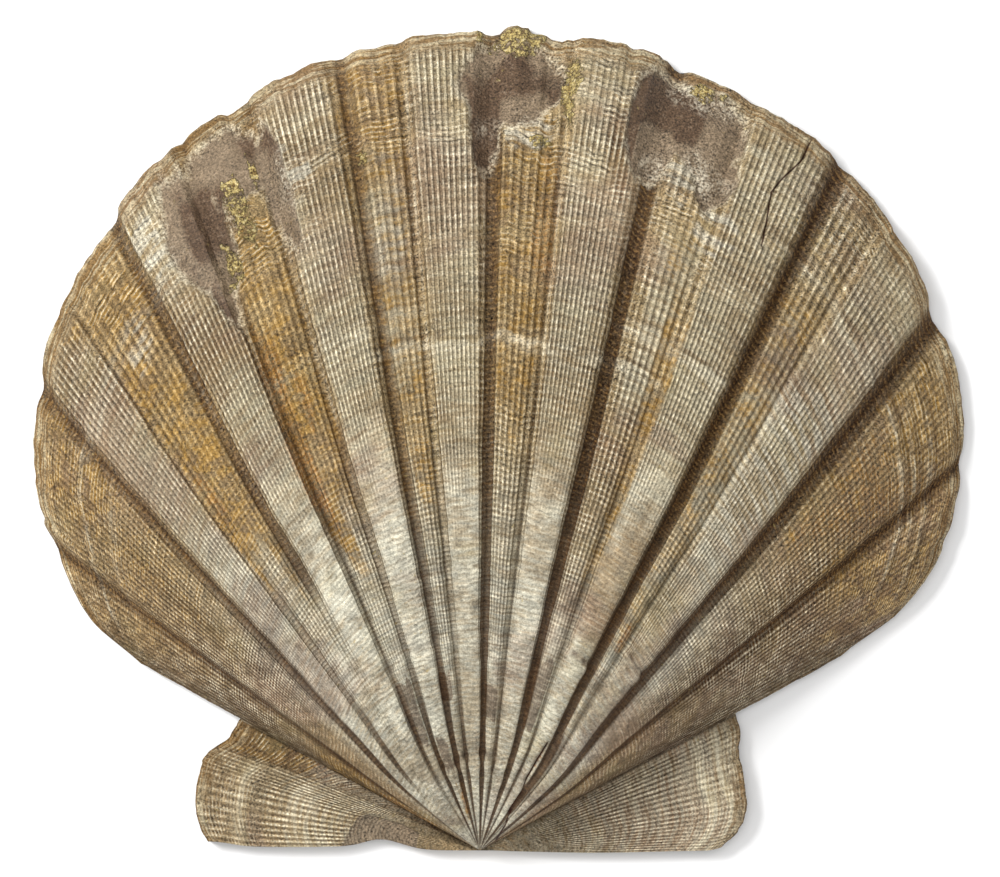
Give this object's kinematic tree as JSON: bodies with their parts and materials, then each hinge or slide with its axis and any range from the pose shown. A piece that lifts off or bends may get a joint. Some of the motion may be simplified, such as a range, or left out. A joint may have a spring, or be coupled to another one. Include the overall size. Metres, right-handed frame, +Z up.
{
  "type": "fossil scallop shell",
  "caption": "One domed, fan-shaped fossil scallop valve with broad radial ribs, fine scaly riblets and two flat ears along a straight hinge line; lies hollow side down.",
  "frame": {"origin": "centre of the footprint, on the surface that the shell rests on", "axes": "+X along the hinge line, to the right with the hinge nearest the viewer; +Y from the hinge line to the outer margin; +Z up through the dome"},
  "size_m": [0.1392, 0.122, 0.031],
  "materials": {
    "fossil_shell": "matte weathered calcite, pale on the ribs, ochre and brown stained between them"
  },
  "bodies": {
    "root": {"shell_valve": "fossil_shell"}
  },
  "joints": []
}
